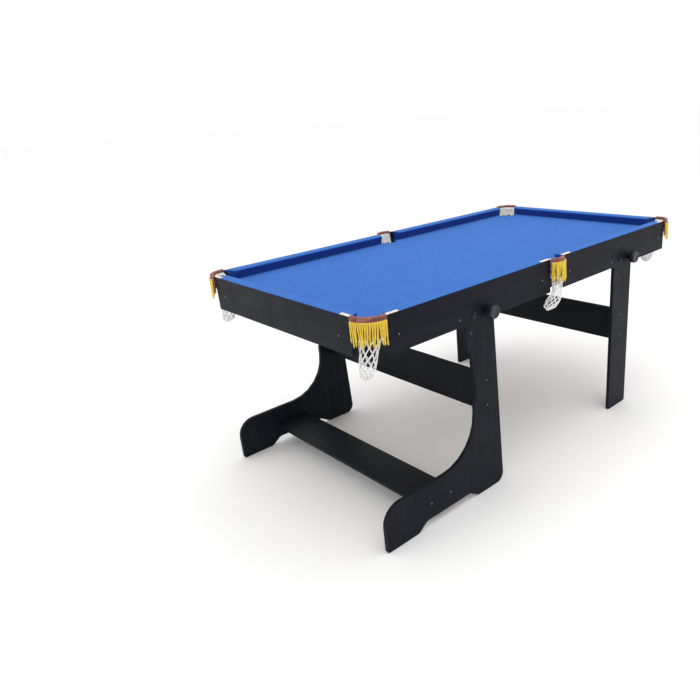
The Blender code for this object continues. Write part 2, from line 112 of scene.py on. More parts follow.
# ---- shapes
def arc(centre, radii, first, last, steps):
    """Points along an arc from first to last in degrees; radii are across and up."""
    turns = [math.radians(first + (last - first) * k / steps) for k in range(steps + 1)]
    return [(centre[0] + radii[0] * math.cos(t), centre[1] + radii[1] * math.sin(t))
            for t in turns]


class Shape:
    """Vertices and faces gathered before they become one object."""

    def __init__(self):
        self.verts = []
        self.faces = []

    def loft(self, rings, closed=False):
        """Join rings of equal count into a skin, capped at both ends or closed into a loop."""
        start, count = len(self.verts), len(rings[0])
        for ring in rings:
            self.verts += [Vector(point) for point in ring]
        for r in range(len(rings) if closed else len(rings) - 1):
            this = start + r * count
            following = start + (r + 1) % len(rings) * count
            for i in range(count):
                j = (i + 1) % count
                self.faces.append((this + i, this + j, following + j, following + i))
        if not closed:
            last = start + (len(rings) - 1) * count
            self.faces.append(tuple(range(start + count - 1, start - 1, -1)))
            self.faces.append(tuple(range(last, last + count)))

    def tube(self, points, radius, sides):
        """Round cord through points; radius is a number or one per point."""
        points = [Vector(p) for p in points]
        radii = radius if hasattr(radius, "__len__") else [radius] * len(points)
        side = (points[1] - points[0]).normalized().orthogonal().normalized()
        rings = []
        for i, point in enumerate(points):
            ahead = points[min(i + 1, len(points) - 1)] - points[max(i - 1, 0)]
            ahead.normalize()
            side = (side - ahead * side.dot(ahead)).normalized()
            other = ahead.cross(side)
            turns = [2 * math.pi * k / sides for k in range(sides)]
            rings.append([point + (side * math.cos(t) + other * math.sin(t)) * radii[i]
                          for t in turns])
        self.loft(rings)

    def ball(self, centre, radius, sides, squash=1.0):
        """Faceted ball; squash is its height as a share of its width."""
        rings = []
        for k in range(1, sides // 2):
            lift = math.cos(math.pi * k / (sides // 2))
            spread = math.sin(math.pi * k / (sides // 2))
            rings.append([(centre[0] + radius * spread * math.cos(2 * math.pi * i / sides),
                           centre[1] + radius * spread * math.sin(2 * math.pi * i / sides),
                           centre[2] + radius * squash * lift) for i in range(sides)])
        self.loft(rings)

    def box(self, low, high):
        corners = [(low[0], low[1]), (high[0], low[1]), (high[0], high[1]), (low[0], high[1])]
        self.loft([[(u, v, low[2]) for u, v in corners], [(u, v, high[2]) for u, v in corners]])

    def turned(self, centre, outward, profile, count, ripple=None, closed=False):
        """Solid of revolution; profile holds (radius, reach) along the unit vector outward.

        ripple(turn, radius, reach) gives the share of the radius; closed makes a hollow ring.
        """
        axis = Vector(outward)
        across = Vector((0, 0, 1)) if abs(axis.z) < 0.5 else Vector((1, 0, 0))
        other = axis.cross(across)
        rings = []
        for radius, reach in profile:
            ring = []
            for k in range(count):
                turn = 2 * math.pi * k / count
                r = radius * (ripple(turn, radius, reach) if ripple else 1.0)
                spoke = across * math.cos(turn) + other * math.sin(turn)
                ring.append(Vector(centre) + axis * reach + spoke * r)
            rings.append(ring)
        self.loft(rings, closed)


def outward_normals(bm):
    bmesh.ops.recalc_face_normals(bm, faces=bm.faces)
    bm.normal_update()


def finish_piece(name, bm, materials, body, smooth=40):
    """One object from a bmesh, riding on its body; smooth is the angle of a sharp edge."""
    mesh = bpy.data.meshes.new(name)
    bm.to_mesh(mesh)
    bm.free()
    for material in materials:
        mesh.materials.append(material)
    mesh.shade_smooth()
    if smooth < 180:
        mesh.set_sharp_from_angle(angle=math.radians(smooth))
    piece = bpy.data.objects.new(name, mesh)
    bpy.context.scene.collection.objects.link(piece)
    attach(piece, body)
    return piece


def make(name, shape, material, body, smooth, bevel=0.0):
    """One object from a gathered shape, with its sharp edges rounded if bevel is given."""
    bm = bmesh.new()
    verts = [bm.verts.new(point) for point in shape.verts]
    for face in shape.faces:
        bm.faces.new([verts[i] for i in face])
    outward_normals(bm)
    if bevel:
        round_edges(bm, bevel, 2, 0)
    return finish_piece(name, bm, [material], body, smooth)


def round_edges(bm, width, segments, edge_material):
    """Bevel every edge that turns by more than 40 degrees."""
    sharp = [e for e in bm.edges
             if len(e.link_faces) == 2 and e.calc_face_angle(0) > math.radians(40)]
    bmesh.ops.bevel(bm, geom=sharp, offset=width, segments=segments, affect="EDGES",
                    profile=0.5, clamp_overlap=True, material=edge_material)


def soften(node, materials, body, width, segments=3):
    """A copy of a CAD solid that stands for it, its edges rounded in the last material."""
    source = frame["nodes"][node]
    bm = bmesh.new()
    bm.from_mesh(source.data)
    bm.transform(source.matrix_world)
    for face in bm.faces:
        face.material_index = 0
    bmesh.ops.remove_doubles(bm, verts=bm.verts, dist=0.00002)
    bmesh.ops.dissolve_limit(bm, angle_limit=math.radians(0.5), verts=bm.verts, edges=bm.edges)
    outward_normals(bm)
    round_edges(bm, width, segments, len(materials) - 1)
    piece = finish_piece(node + "_finish", bm, materials, body)
    even_shading(piece)
    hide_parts(node)


def even_shading(piece):
    """Let the large faces set the shading, so that only the rounded edges turn."""
    shading = piece.modifiers.new("even_shading", "WEIGHTED_NORMAL")
    shading.keep_sharp = True


# ---- materials
WHITE = (1.0, 1.0, 1.0)


class Finish:
    """A Principled material with helpers for the nodes that feed it."""

    def __init__(self, name, roughness=0.5, metallic=0.0, **constants):
        self.material = bpy.data.materials.new(name)
        self.material.use_nodes = True
        self.tree = self.material.node_tree
        self.shader = self.tree.nodes["Principled BSDF"]
        self.shader.inputs["Roughness"].default_value = roughness
        self.shader.inputs["Metallic"].default_value = metallic
        for socket, value in constants.items():
            self.shader.inputs[socket.replace("_", " ")].default_value = value
        coordinates = self.tree.nodes.new("ShaderNodeTexCoord")
        self.place = coordinates.outputs["Object"]
        self.facing = coordinates.outputs["Normal"]

    def link(self, output, node, socket):
        self.tree.links.new(output, node.inputs[socket])

    def stretched(self, scale):
        mapping = self.tree.nodes.new("ShaderNodeMapping")
        mapping.inputs["Scale"].default_value = scale
        self.link(self.place, mapping, "Vector")
        return mapping.outputs["Vector"]

    def noise(self, scale, detail=3.0, rough=0.55, vector=None, distortion=0.0):
        node = self.tree.nodes.new("ShaderNodeTexNoise")
        node.inputs["Scale"].default_value = scale
        node.inputs["Detail"].default_value = detail
        node.inputs["Roughness"].default_value = rough
        node.inputs["Distortion"].default_value = distortion
        self.link(vector or self.place, node, "Vector")
        return node.outputs["Fac"]

    def cells(self, scale):
        node = self.tree.nodes.new("ShaderNodeTexVoronoi")
        node.feature = "DISTANCE_TO_EDGE"
        node.inputs["Scale"].default_value = scale
        self.link(self.place, node, "Vector")
        return node.outputs["Distance"]

    def waves(self, scale, direction, distortion=0.0):
        node = self.tree.nodes.new("ShaderNodeTexWave")
        node.bands_direction = direction
        node.inputs["Scale"].default_value = scale
        node.inputs["Distortion"].default_value = distortion
        self.link(self.place, node, "Vector")
        return node.outputs["Fac"]

    def ramp(self, value, stops):
        node = self.tree.nodes.new("ShaderNodeValToRGB")
        elements = node.color_ramp.elements
        while len(elements) < len(stops):
            elements.new(0.5)
        for element, (position, colour) in zip(elements, stops):
            element.position = position
            element.color = (*colour, 1.0)
        self.link(value, node, "Fac")
        return node.outputs["Color"]

    def spread(self, value, low, high, source=(0.3, 0.7)):
        """Value in the source range carried over to the range from low to high."""
        node = self.tree.nodes.new("ShaderNodeMapRange")
        node.inputs["From Min"].default_value = source[0]
        node.inputs["From Max"].default_value = source[1]
        node.inputs["To Min"].default_value = low
        node.inputs["To Max"].default_value = high
        self.link(value, node, "Value")
        return node.outputs["Result"]

    def mix(self, first, second, share, mode="MIX"):
        node = self.tree.nodes.new("ShaderNodeMix")
        node.data_type = "RGBA"
        node.blend_type = mode
        for socket, value in (("Factor", share), ("A", first), ("B", second)):
            slot = [s for s in node.inputs if s.name == socket and s.enabled][0]
            if hasattr(value, "links"):
                self.tree.links.new(value, slot)
            elif socket == "Factor":
                slot.default_value = value
            else:
                slot.default_value = (*value, 1.0)
        return [s for s in node.outputs if s.enabled][0]

    def shaded(self, base, value, stops):
        """Base colour multiplied by a ramp of value."""
        return self.mix(base, self.ramp(value, stops), 1.0, "MULTIPLY")

    def math(self, operation, first, second):
        node = self.tree.nodes.new("ShaderNodeMath")
        node.operation = operation
        for i, value in enumerate((first, second)):
            if hasattr(value, "links"):
                self.tree.links.new(value, node.inputs[i])
            else:
                node.inputs[i].default_value = value
        return node.outputs[0]

    def colour(self, output):
        self.link(output, self.shader, "Base Color")

    def upward(self):
        """How far the surface faces up in the piece's own frame."""
        node = self.tree.nodes.new("ShaderNodeSeparateXYZ")
        self.link(self.facing, node, "Vector")
        return node.outputs["Z"]

    def roughness(self, output):
        self.link(output, self.shader, "Roughness")

    def bump(self, height, strength, distance):
        """Relief on top of the bumps that are there already."""
        node = self.tree.nodes.new("ShaderNodeBump")
        node.inputs["Strength"].default_value = strength
        node.inputs["Distance"].default_value = distance
        before = self.shader.inputs["Normal"]
        if before.is_linked:
            self.tree.links.new(before.links[0].from_socket, node.inputs["Normal"])
        self.link(height, node, "Height")
        self.link(node.outputs["Normal"], self.shader, "Normal")


def laminate(name, grain, edge=False):
    """Black wood-grain foil on fibreboard; grain is the axis that the figure follows."""
    look = Finish(name, Specular_IOR_Level=0.09)
    along, across = 2.2, 70.0
    scale = [along if axis == grain else across for axis in "XYZ"]
    figure = look.noise(1.0, 5.0, 0.62, look.stretched(scale), 0.6)
    pores = look.noise(11.0, 3.0, 0.6, look.stretched(scale))
    cloud = look.noise(5.0, 3.0, 0.5)
    dark, light = (0.0062, 0.0074, 0.0122), (0.0120, 0.0138, 0.0215)
    if edge:
        dark, light = (0.011, 0.013, 0.019), (0.020, 0.023, 0.033)
    base = look.ramp(figure, [(0.32, dark), (0.66, light)])
    base = look.shaded(base, pores, [(0.36, (0.62, 0.62, 0.64)), (0.50, WHITE)])
    look.colour(look.shaded(base, cloud, [(0.3, (0.80, 0.80, 0.82)), (0.7, WHITE)]))
    look.roughness(look.spread(look.noise(14.0, 4.0), 0.36, 0.50))
    look.bump(pores, 0.50, 0.0005)
    look.bump(figure, 0.25, 0.0006)
    return look.material


def fibreboard(name):
    """Bare board: short fibres, flecks and a soft mottled tone."""
    look = Finish(name, roughness=0.85)
    tint = (0.36, 0.25, 0.155)
    fibres = look.noise(420.0, 4.0, 0.7, look.stretched((1.0, 1.0, 0.5)))
    cloud = look.noise(9.0, 4.0, 0.6)
    base = look.ramp(fibres, [(0.30, tuple(c * 0.72 for c in tint)), (0.72, tint)])
    look.colour(look.shaded(base, cloud, [(0.3, (0.82, 0.80, 0.78)), (0.75, WHITE)]))
    look.bump(fibres, 0.35, 0.0006)
    return look.material


def billiard_cloth(name):
    """Blue wool: fine weave under a short, slightly mottled nap, with painted shade on upright
    faces.
    """
    look = Finish(name, roughness=0.95, Sheen_Weight=0.12, Sheen_Roughness=0.45,
                  Sheen_Tint=(0.55, 0.72, 1.0, 1.0), Specular_IOR_Level=0.10)
    weave = look.math("MULTIPLY", look.waves(260.0, "X"), look.waves(260.0, "Y"))
    nap = look.noise(650.0, 4.0, 0.7, look.stretched((0.6, 1.3, 1.0)))
    tufts = look.noise(150.0, 4.0, 0.7)
    patches = look.noise(7.0, 5.0, 0.6)
    base = look.ramp(nap, [(0.25, (0.027, 0.121, 0.445)), (0.75, (0.048, 0.180, 0.567))])
    base = look.shaded(base, tufts, [(0.38, (0.76, 0.80, 0.85)), (0.62, (1.03, 1.02, 1.01))])
    base = look.shaded(base, patches, [(0.30, (0.90, 0.92, 0.95)), (0.70, WHITE)])
    # painted shade: faces that turn away from straight up are darkened, standing in for the lower
    # light that reaches them
    look.colour(look.shaded(base, look.upward(), [(0.15, (0.34, 0.36, 0.50)), (0.75, WHITE)]))
    look.bump(weave, 0.10, 0.0003)
    look.bump(nap, 0.30, 0.0005)
    return look.material


def oxblood_leather(name):
    """Rolled leather with pebbled grain, darker creases and rubbed high spots."""
    look = Finish(name, Specular_IOR_Level=0.45, Coat_Weight=0.10, Coat_Roughness=0.35)
    pebble = look.cells(420.0)
    crease = look.noise(60.0, 5.0, 0.65, distortion=0.8)
    wear = look.noise(34.0, 5.0, 0.62)
    base = look.ramp(crease, [(0.30, (0.080, 0.018, 0.018)), (0.55, (0.200, 0.050, 0.042)),
                              (0.80, (0.300, 0.095, 0.070))])
    rubbed = look.ramp(wear, [(0.48, (0.0, 0.0, 0.0)), (0.66, WHITE)])
    look.colour(look.mix(base, (0.46, 0.20, 0.15), look.math("MULTIPLY", rubbed, 0.60)))
    look.roughness(look.spread(crease, 0.38, 0.62))
    look.bump(look.spread(pebble, 0.0, 1.0, (0.0, 0.25)), 0.35, 0.0005)
    look.bump(crease, 0.45, 0.0012)
    return look.material


def plated_iron(name):
    """Pale brass plating, rubbed and lightly spotted."""
    look = Finish(name, metallic=1.0)
    spots = look.noise(120.0, 4.0, 0.6)
    streaks = look.noise(40.0, 3.0, 0.5, look.stretched((1.0, 1.0, 6.0)))
    look.colour(look.ramp(spots, [(0.26, (0.46, 0.36, 0.20)), (0.42, (0.86, 0.79, 0.60)),
                                  (0.75, (0.97, 0.94, 0.84))]))
    look.roughness(look.spread(streaks, 0.24, 0.44))
    look.bump(spots, 0.12, 0.0003)
    return look.material


def golden_thread(name):
    """Twisted rayon thread: bright strands with deeper gold between them."""
    look = Finish(name, roughness=0.55, Sheen_Weight=0.35, Sheen_Roughness=0.4,
                  Specular_IOR_Level=0.4)
    twist = look.waves(420.0, "DIAGONAL", 1.0)
    tone = look.noise(90.0, 3.0, 0.6)
    base = look.ramp(twist, [(0.15, (0.80, 0.50, 0.012)), (0.60, (1.00, 0.80, 0.070))])
    look.colour(look.shaded(base, tone, [(0.30, (0.84, 0.76, 0.62)), (0.65, WHITE)]))
    look.bump(twist, 0.35, 0.0004)
    return look.material


def cotton_cord(name):
    """White knotted cotton with a visible lay."""
    look = Finish(name, roughness=0.88, Sheen_Weight=0.40, Specular_IOR_Level=0.25)
    lay = look.waves(520.0, "DIAGONAL", 1.5)
    tone = look.noise(140.0, 3.0, 0.6)
    base = look.ramp(lay, [(0.10, (0.86, 0.86, 0.85)), (0.55, (0.97, 0.97, 0.96))])
    look.colour(look.shaded(base, tone, [(0.30, (0.88, 0.88, 0.87)), (0.65, WHITE)]))
    look.bump(lay, 0.25, 0.0003)
    return look.material


def woven_tape(name):
    """White heading tape with a fine rib along it."""
    look = Finish(name, roughness=0.9, Sheen_Weight=0.2, Specular_IOR_Level=0.2)
    ribs = look.waves(330.0, "Z", 0.4)
    tone = look.noise(60.0, 3.0, 0.6)
    base = look.ramp(ribs, [(0.10, (0.74, 0.74, 0.72)), (0.55, (0.92, 0.92, 0.90))])
    look.colour(look.shaded(base, tone, [(0.30, (0.88, 0.87, 0.85)), (0.65, WHITE)]))
    look.bump(ribs, 0.4, 0.0004)
    return look.material


def moulded_plastic(name):
    """Black moulded plastic with a fine spark-eroded texture and handling marks."""
    look = Finish(name, Specular_IOR_Level=0.42)
    grain = look.noise(900.0, 3.0, 0.6)
    marks = look.noise(60.0, 4.0, 0.6)
    look.colour(look.ramp(marks, [(0.3, (0.005, 0.007, 0.013)), (0.75, (0.011, 0.014, 0.024))]))
    look.roughness(look.spread(marks, 0.16, 0.30))
    look.bump(grain, 0.18, 0.0003)
    return look.material


def worn_steel(name, tone):
    """Dark or dull steel with finer and darker spots."""
    look = Finish(name, metallic=1.0)
    spots = look.noise(260.0, 4.0, 0.6)
    look.colour(look.ramp(spots, [(0.3, tuple(c * 0.5 for c in tone)), (0.7, tone)]))
    look.roughness(look.spread(look.noise(90.0), 0.28, 0.50))
    look.bump(spots, 0.10, 0.0002)
    return look.material


BLACK = {axis: laminate("black_laminate_" + axis.lower(), axis) for axis in "XYZ"}
BLACK_EDGE = laminate("black_laminate_edge", "X", edge=True)
RAW = fibreboard("bare_fibreboard")
CLOTH = billiard_cloth("blue_billiard_cloth")
LEATHER = oxblood_leather("oxblood_leather")
THREAD = cotton_cord("stitching_thread")
BRASS = plated_iron("plated_iron")
GOLD = golden_thread("golden_fringe_thread")
COTTON = cotton_cord("white_net_cord")
WEBBING = woven_tape("white_webbing")
PLASTIC = moulded_plastic("black_moulded_plastic")
STEEL = worn_steel("screw_steel", (0.24, 0.24, 0.27))
BOLT_STEEL = worn_steel("blackened_steel", (0.055, 0.055, 0.068))
DULL_STEEL = worn_steel("insert_steel", (0.24, 0.24, 0.28))


# ---- pocket plan
class Pocket:
    """Centre, outward bearing and sizes of one pocket in plan."""

    def __init__(self, name, centre, bearing, middle):
        self.name = name
        self.centre = centre
        self.bearing = bearing
        self.middle = middle
        self.radius = MIDDLE_RADIUS if middle else CORNER_RADIUS
        self.half_arc = MIDDLE_HALF_ARC if middle else CORNER_HALF_ARC
        self.seed = sum(ord(c) for c in name)

    def point(self, radius, angle, height):
        turn = math.radians(self.bearing + angle)
        return Vector((self.centre[0] + radius * math.cos(turn),
                       self.centre[1] + radius * math.sin(turn), height))


def all_pockets():
    """Two corners and a middle pocket on each side."""
    pockets = []
    for side, sign in SIDES.items():
        for end, way in ENDS.items():
            centre = (way * (HALF_LENGTH - CORNER_INSET), sign * (HALF_WIDTH - CORNER_INSET))
            bearing = math.degrees(math.atan2(sign, way))
            pockets.append(Pocket(side + "_" + end, centre, bearing, False))
        centre = (0.0, sign * (HALF_WIDTH - MIDDLE_INSET))
        pockets.append(Pocket(side + "_middle", centre, 90 * sign, True))
    return pockets


POCKETS = all_pockets()


# ---- boards
GRAIN = {"side_board": "X", "end_board": "Y", "middle_pocket_back": "X", "curved_leg": "Z",
         "curved_leg_stretcher": "Y", "curved_leg_foot_board": "Y", "straight_leg": "Z",
         "straight_leg_stretcher": "Y"}
LIPPED = ("side_board", "end_board")    # their lip is thin, so their edges are sharper


def build_boards():
    """Every foil-covered board with the figure along it, and the bare boards under the bed."""
    for body, nodes in frame["record"]["behaviour"]["bodies"].items():
        for node in nodes:
            kinds = [kind for kind in GRAIN if node.startswith(kind)]
            if kinds:
                figure = BLACK[GRAIN[max(kinds, key=len)]]
                width = 0.0004 if node.startswith(LIPPED) else 0.0011
                soften(node, [figure, BLACK_EDGE], body, width)
    soften("bed_board", [RAW], TOP, 0.0008, 2)
    soften("centre_bearer", [RAW], TOP, 0.0012, 2)


# ---- cloth
def bed_cloth_outline():
    """Outline of the playing cloth in plan, mirrored from the quarter with positive x and y."""
    corner = (HALF_LENGTH - CORNER_INSET, HALF_WIDTH - CORNER_INSET)
    middle = (0.0, HALF_WIDTH - MIDDLE_INSET)
    quarter = arc(middle, (MIDDLE_CUT, MIDDLE_CUT), -90, 0, 12)
    quarter += [(MIDDLE_CUT, bed_high[1]), (corner[0] - CORNER_CUT, bed_high[1])]
    quarter += arc(corner, (CORNER_CUT, CORNER_CUT), 180, 270, 16)
    quarter.append((bed_high[0], corner[1] - CORNER_CUT))
    loop = quarter + [(x, -y) for x, y in reversed(quarter)]
    loop += [(-x, -y) for x, y in quarter[1:]]
    return loop + [(-x, y) for x, y in reversed(quarter[1:])]


def add_cloth_lip(bm, ring):
    """Turn the cloth down wherever its outline follows a pocket."""
    levels = [(0.0006, 0.0003), (0.0014, 0.0016), (0.0015, CLOTH_LIP)]
    strips = []
    for vert in ring:
        ways = [Vector((*pocket.centre, vert.co.z)) - vert.co for pocket in POCKETS]
        inward = min(ways, key=lambda way: way.length)
        strip = [vert]
        if inward.length < MIDDLE_CUT + 0.004:
            inward.normalize()
            strip += [bm.verts.new(vert.co + inward * over - Vector((0, 0, down)))
                      for over, down in levels]
        strips.append(strip)
    for i, first in enumerate(strips):
        last = strips[(i + 1) % len(strips)]
        for k in range(min(len(first), len(last)) - 1):
            bm.faces.new((first[k], last[k], last[k + 1], first[k + 1]))


def build_bed_cloth():
    """Stretched sheet whose edge is turned down over the bed at every pocket."""
    thick = cloth_high[2] - cloth_low[2]
    middle = CLOTH_TOP - thick / 2
    bm = bmesh.new()
    ring = [bm.verts.new((x, y, middle)) for x, y in bed_cloth_outline()]
    edges = [bm.edges.new((ring[i - 1], ring[i])) for i in range(len(ring))]
    bmesh.ops.triangle_fill(bm, use_beauty=True, use_dissolve=True, edges=edges)
    for face in bm.faces:
        if face.normal.z < 0:
            face.normal_flip()
    add_cloth_lip(bm, ring)
    bmesh.ops.recalc_face_normals(bm, faces=bm.faces)
    area = sum(face.calc_area() for face in bm.faces)
    piece = finish_piece("bed_cloth_sheet", bm, [CLOTH], TOP, 50)
    solid = piece.modifiers.new("thickness", "SOLIDIFY")
    solid.thickness = thick
    solid.offset = 0.0
    even_shading(piece)
    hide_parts("bed_cloth")


def cushion_section():
    """Cloth-covered rail and rubber: (distance in from the outer face, height), rounded."""
    strip = APRON_TOP + GAP
    points = [(0.0015, strip), (0.0015, RAIL_TOP - 0.0024)]
    points += arc((0.0037, RAIL_TOP - 0.0022), (0.0022, 0.0022), 180, 90, 4)[1:]
    points += [(0.0120, RAIL_TOP - 0.0002), (0.0240, RAIL_TOP - 0.0001), (0.0340, RAIL_TOP - 0.0004)]
    points += arc((0.0412, RAIL_TOP - 0.0068), (0.0056, 0.0062), 80, -45, 8)[1:]
    points += [(0.0415, RAIL_TOP - 0.0190), (0.0375, RAIL_TOP - 0.0320), (0.0362, CLOTH_TOP + GAP),
               (BOARD + GAP, CLOTH_TOP + GAP), (BOARD + GAP, strip)]
    return points


def build_cushion(node, place, first, last):
    """One rail under its cloth; first and last give where its outer face and its nose end."""
    section = cushion_section()
    outer, nose = section[0][0], max(point[0] for point in section)
    heart = (0.030, RAIL_TOP - 0.016)       # the rounded ends shrink towards it
    rounding = [(0.0, 0.0533), (0.0005, 0.02), (0.0016, 0.0)]   # (from the end, shrinkage)
    steps = 46
    way = math.copysign(1, last[0] - first[0])
    spans = [(0, way * distance, shrink) for distance, shrink in rounding]
    spans += [(k, 0.0, 0.0) for k in range(1, steps)]
    spans += [(steps, -way * distance, shrink) for distance, shrink in reversed(rounding)]
    rings = []
    for k, shift, shrink in spans:
        near_end = min(k, steps - k) / steps * abs(last[0] - first[0])
        looseness = 0.00012 + 0.0004 * math.exp(-near_end / 0.035)
        ring = []
        for inward, height in section:
            share = (inward - outer) / (nose - outer)
            start = first[0] + (first[1] - first[0]) * share
            end = last[0] + (last[1] - last[0]) * share
            along = start + (end - start) * k / steps + shift
            u = inward + (heart[0] - inward) * shrink
            v = height + (heart[1] - height) * shrink
            if height > CLOTH_TOP + 0.004 and inward > outer + 0.002:
                ripple = noise.noise(Vector((along * 22, inward * 60, height * 40)))
                v += ripple * looseness * (1 if height < RAIL_TOP - 0.001 else -0.5)
            ring.append(place(along, u, min(v, RAIL_TOP)))
        rings.append(ring)
    shape = Shape()
    shape.loft(rings)
    piece = make(node + "_cover", shape, CLOTH, TOP, 45)
    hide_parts(node)


def build_cushions():
    """Four long rails between the pockets and two end rails."""
    corner = (0.075, 0.100)         # outer face and nose, from the outer faces of the boards
    middle_end = (0.046, 0.052)     # outer face and nose, from the middle of the table
    for side, sign in SIDES.items():
        for end, way in ENDS.items():
            def place(along, inward, height, way=way, sign=sign):
                return (way * along, sign * (HALF_WIDTH - inward), height)
            far = (HALF_LENGTH - corner[0], HALF_LENGTH - corner[1])
            build_cushion("cushion_" + side + "_" + end, place, middle_end, far)
    for end, way in ENDS.items():
        def place(along, inward, height, way=way):
            return (way * (HALF_LENGTH - inward), along, height)
        far = (HALF_WIDTH - corner[0], HALF_WIDTH - corner[1])
        build_cushion("cushion_end_" + end, place, (-far[0], -far[1]), far)


# ---- pockets
def leather_section(r):
    """Skirt, roll, inner lip and the slot over the iron: (radius, height)."""
    outer, inner = r + ROLL, r - ROLL
    slot_in, slot_out = r - 0.0045, outer - 0.0030
    slot_top = IRON_TOP + GAP
    lip_in, lip_out, lip_bottom = inner + 0.0008, inner + 0.00236, RAIL_TOP - 0.009
    half_roll = 0.0062
    section = [(outer - 0.0004, SKIRT_BOTTOM), (outer - 0.0002, SKIRT_BOTTOM + 0.018),
               (outer - 0.0006, SKIRT_BOTTOM + 0.042), (outer - 0.0008, RAIL_TOP - 0.0085)]
    section += arc((r, ROLL_TOP - half_roll), (ROLL, half_roll), -25, 205, 12)
    section += [(inner + 0.0006, RAIL_TOP - 0.004), (lip_in, lip_bottom), (lip_out, lip_bottom),
                (slot_in, RAIL_TOP - 0.004), (slot_in, slot_top), (slot_out, slot_top),
                (slot_out, RAIL_TOP - 0.004), (slot_out, SKIRT_BOTTOM)]
    return section


def on_roll(out, height):
    """Whether a point of the section is on the roll's surface and not in its slot."""
    beside_slot = height > RAIL_TOP - 0.006 and abs(out) > 0.0046
    return beside_slot or height > IRON_TOP + GAP + 0.001


def build_leather(pocket):
    """Leather gathered in pleats over the iron, with its skirt behind the fringe."""
    r = pocket.radius
    pleat_pitch, steps = 0.0105, 120
    rings = []
    for k in range(steps + 1):
        angle = -pocket.half_arc + 2 * pocket.half_arc * k / steps
        run = math.radians(angle) * r
        drift = 2.2 * noise.noise(Vector((run * 40, 0, pocket.seed)))
        pleat = 0.5 + 0.5 * math.sin(run * 2 * math.pi / pleat_pitch + pocket.seed + drift)
        ring = []
        for radius, height in leather_section(r):
            fold = noise.noise(Vector((run * 55, height * 60, pocket.seed)))
            if on_roll(radius - r, height):
                away = Vector((radius - r, height - (ROLL_TOP - ROLL))).normalized()
                away *= 0.0010 * pleat ** 2 + 0.0012 * max(fold, 0.0)
                ring.append(pocket.point(radius - away.x, angle, height - away.y))
            else:
                wave = 0.0003 * abs(fold) if height < RAIL_TOP - 0.02 else 0.0
                ring.append(pocket.point(radius - wave, angle, height))
        rings.append(ring)
    shape = Shape()
    shape.loft(rings)
    piece = make("pocket_leather_" + pocket.name + "_hide", shape, LEATHER, TOP,
                 50)
    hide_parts("pocket_leather_" + pocket.name)


def build_stitches(pocket):
    """A row of stitches along the foot of the skirt and one under the roll."""
    pitch, half_stitch, rise, thread = 0.0048, 0.0015, 0.0005, 0.00035
    count = int(2 * math.radians(pocket.half_arc) * pocket.radius / pitch)
    reach = math.degrees(half_stitch / pocket.radius)
    row = pocket.radius + ROLL - 0.0006
    shape = Shape()
    for height in (SKIRT_BOTTOM + 0.005, RAIL_TOP - 0.0105):
        for k in range(count):
            angle = -pocket.half_arc + 2 * pocket.half_arc * (k + 0.5) / count
            shape.tube([pocket.point(row, angle - reach, height),
                        pocket.point(row + rise, angle, height),
                        pocket.point(row, angle + reach, height)], thread, 5)
    make("pocket_stitching_" + pocket.name, shape, THREAD, TOP, 180)


def build_iron(pocket):
    """Pocket iron with rounded edges and two cross-head screws in each lug."""
    soften("pocket_iron_" + pocket.name, [BRASS], TOP, 0.0006, 3)
    low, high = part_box("pocket_iron_" + pocket.name)
    way, sign = math.copysign(1, pocket.centre[0]), math.copysign(1, pocket.centre[1])
    rail_x, rail_y = way * (HALF_LENGTH - LUG_INSET), sign * (HALF_WIDTH - LUG_INSET)
    shape = Shape()
    for reach in (0.006, 0.030):
        if pocket.middle:
            spots = [(low[0] + reach, rail_y), (high[0] - reach, rail_y)]
        else:
            inner_x = low[0] + reach if way > 0 else high[0] - reach
            inner_y = low[1] + reach if sign > 0 else high[1] - reach
            spots = [(inner_x, rail_y), (rail_x, inner_y)]
        for spot in spots:
            add_screw_head(shape, (*spot, high[2]), (0, 0, 1), 0.0034, 0.0019)
    make("pocket_iron_screws_" + pocket.name, shape, BRASS, TOP, 35)


def add_screw_head(shape, centre, outward, radius, height):
    """Domed screw head with a cross recess, seated on a surface."""
    def cross(turn, at_radius, _):
        if at_radius > radius * 0.5:
            return 1.0
        return 0.42 + 0.58 * abs(math.cos(2 * turn)) ** 1.5
    profile = [(radius, 0.0), (radius, height * 0.35), (radius * 0.86, height * 0.78),
               (radius * 0.62, height), (radius * 0.46, height), (radius * 0.40, height * 0.45),
               (radius * 0.05, height * 0.40)]
    shape.turned(centre, outward, profile, 24, cross)


def add_heading(shape, pocket, base, half_arc):
    """Two cords twisted round each other, which carry the threads of the fringe."""
    steps = 90
    for phase in (0.0, math.pi):
        points = []
        for k in range(steps + 1):
            angle = -half_arc + 2 * half_arc * k / steps
            twist = k * 0.9 + phase
            points.append(pocket.point(base + 0.0014 + 0.0007 * math.sin(twist), angle,
                                       FRINGE_TOP - 0.0022 + 0.0009 * math.cos(twist)))
        shape.tube(points, 0.0011, 5)


def add_bunch(shape, pocket, base, middle, width, rng):
    """Four threads that gather into one bunch, which leans and swings out a little."""
    thread, tip, steps = 0.00122, 0.0007, 12
    lean = rng.uniform(-1.0, 1.0) * 0.0060
    drop = FRINGE_BOTTOM - 0.003 + rng.uniform(-0.0080, 0.0100)
    swing = rng.uniform(0.0, 0.0030)
    pinch = rng.uniform(0.42, 0.70)
    for t in range(4):
        start = ((t + 0.5) / 4 - 0.5) * width * 0.86
        wobble = rng.uniform(0, 6.28)
        length = rng.uniform(-0.004, 0.003)
        points = []
        for k in range(steps + 1):
            s = k / steps
            angle = middle + start * (1 - pinch * min(1.0, s * 2.6))
            angle += math.degrees(lean / base) * s ** 1.4
            angle += math.degrees(0.0009 * math.sin(wobble + s * 8) * s / base)
            radius = base + 0.0010 + 0.0016 * (t % 2) + swing * s * s
            height = FRINGE_TOP - 0.0015 + (drop + length - FRINGE_TOP) * s
            points.append(pocket.point(radius, angle, height))
        shape.tube(points, [thread] * steps + [tip], 5)


